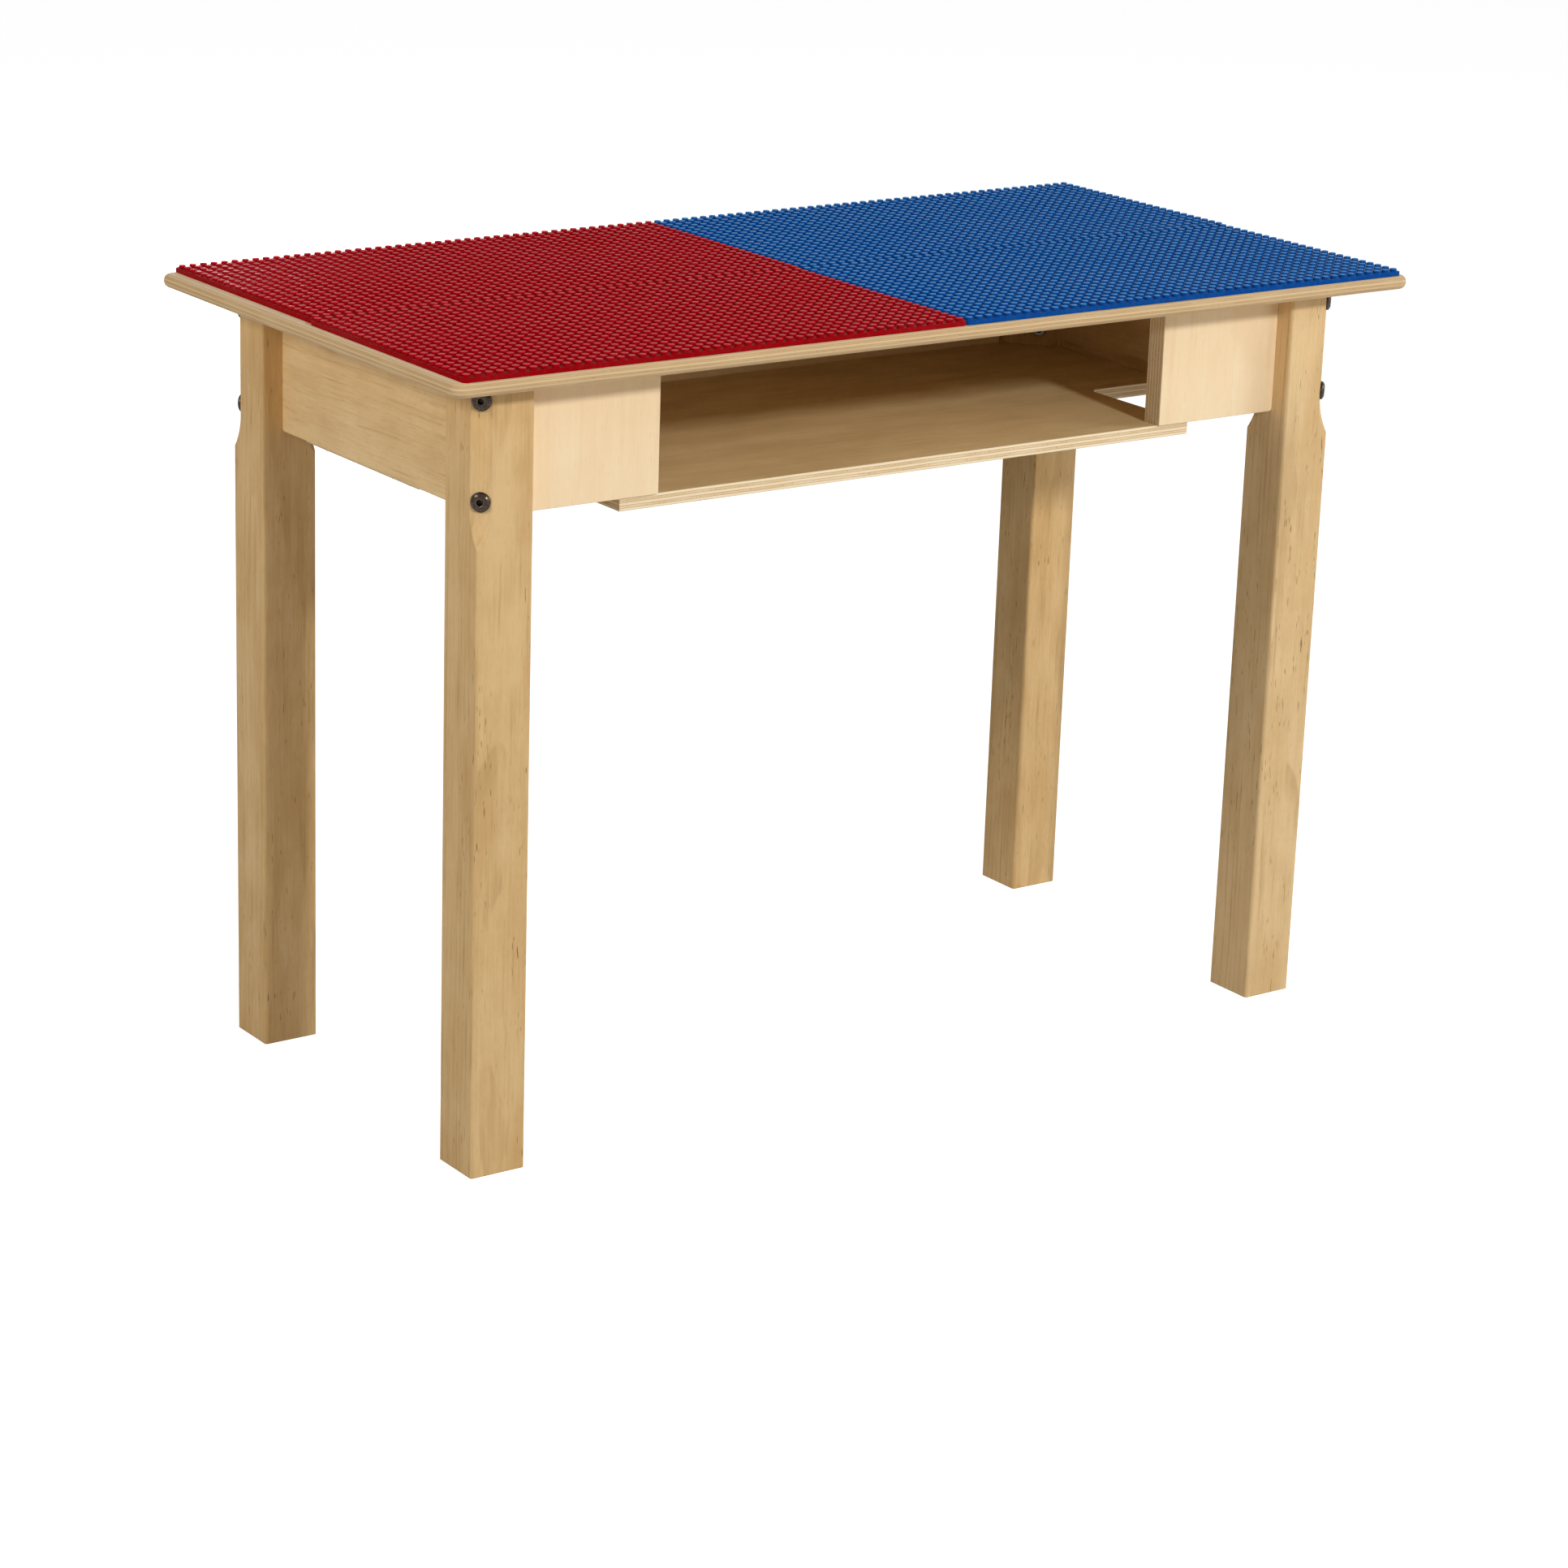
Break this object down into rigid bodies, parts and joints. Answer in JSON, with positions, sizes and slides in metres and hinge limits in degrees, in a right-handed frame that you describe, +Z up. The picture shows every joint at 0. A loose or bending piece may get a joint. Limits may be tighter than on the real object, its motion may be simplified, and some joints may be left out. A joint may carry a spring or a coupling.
{
  "type": "building block play table",
  "caption": "Low wooden play table with a studded building surface, square legs on bolted corner joints and an open storage bay under the top.",
  "frame": {"origin": "on the floor, under the middle of the table top", "axes": "+X along the long side, -Y towards the front with the storage bay, +Z up"},
  "size_m": [0.782, 0.39, 0.5455],
  "materials": {
    "maple": "clear satin lacquer",
    "birch_ply": "clear satin lacquer, layered edges",
    "red_plastic": "moulded gloss",
    "blue_plastic": "moulded gloss",
    "dark_bronze": "satin",
    "zinc_steel": "plated"
  },
  "bodies": {
    "root": {"table_top": "birch_ply", "red_plate_front": "red_plastic", "red_plate_rear": "red_plastic", "blue_plate_front": "blue_plastic", "blue_plate_rear": "blue_plastic", "leg_front_left": "maple", "leg_front_right": "maple", "leg_rear_left": "maple", "leg_rear_right": "maple", "end_apron_left": "maple", "end_apron_right": "maple", "rear_apron": "birch_ply", "front_fascia_left": "birch_ply", "front_fascia_right": "birch_ply", "storage_shelf": "birch_ply", "corner_block_front_left": "maple", "corner_block_front_right": "maple", "corner_block_rear_left": "maple", "corner_block_rear_right": "maple", "leg_bolts": "dark_bronze", "leg_nuts": "zinc_steel"}
  },
  "joints": []
}
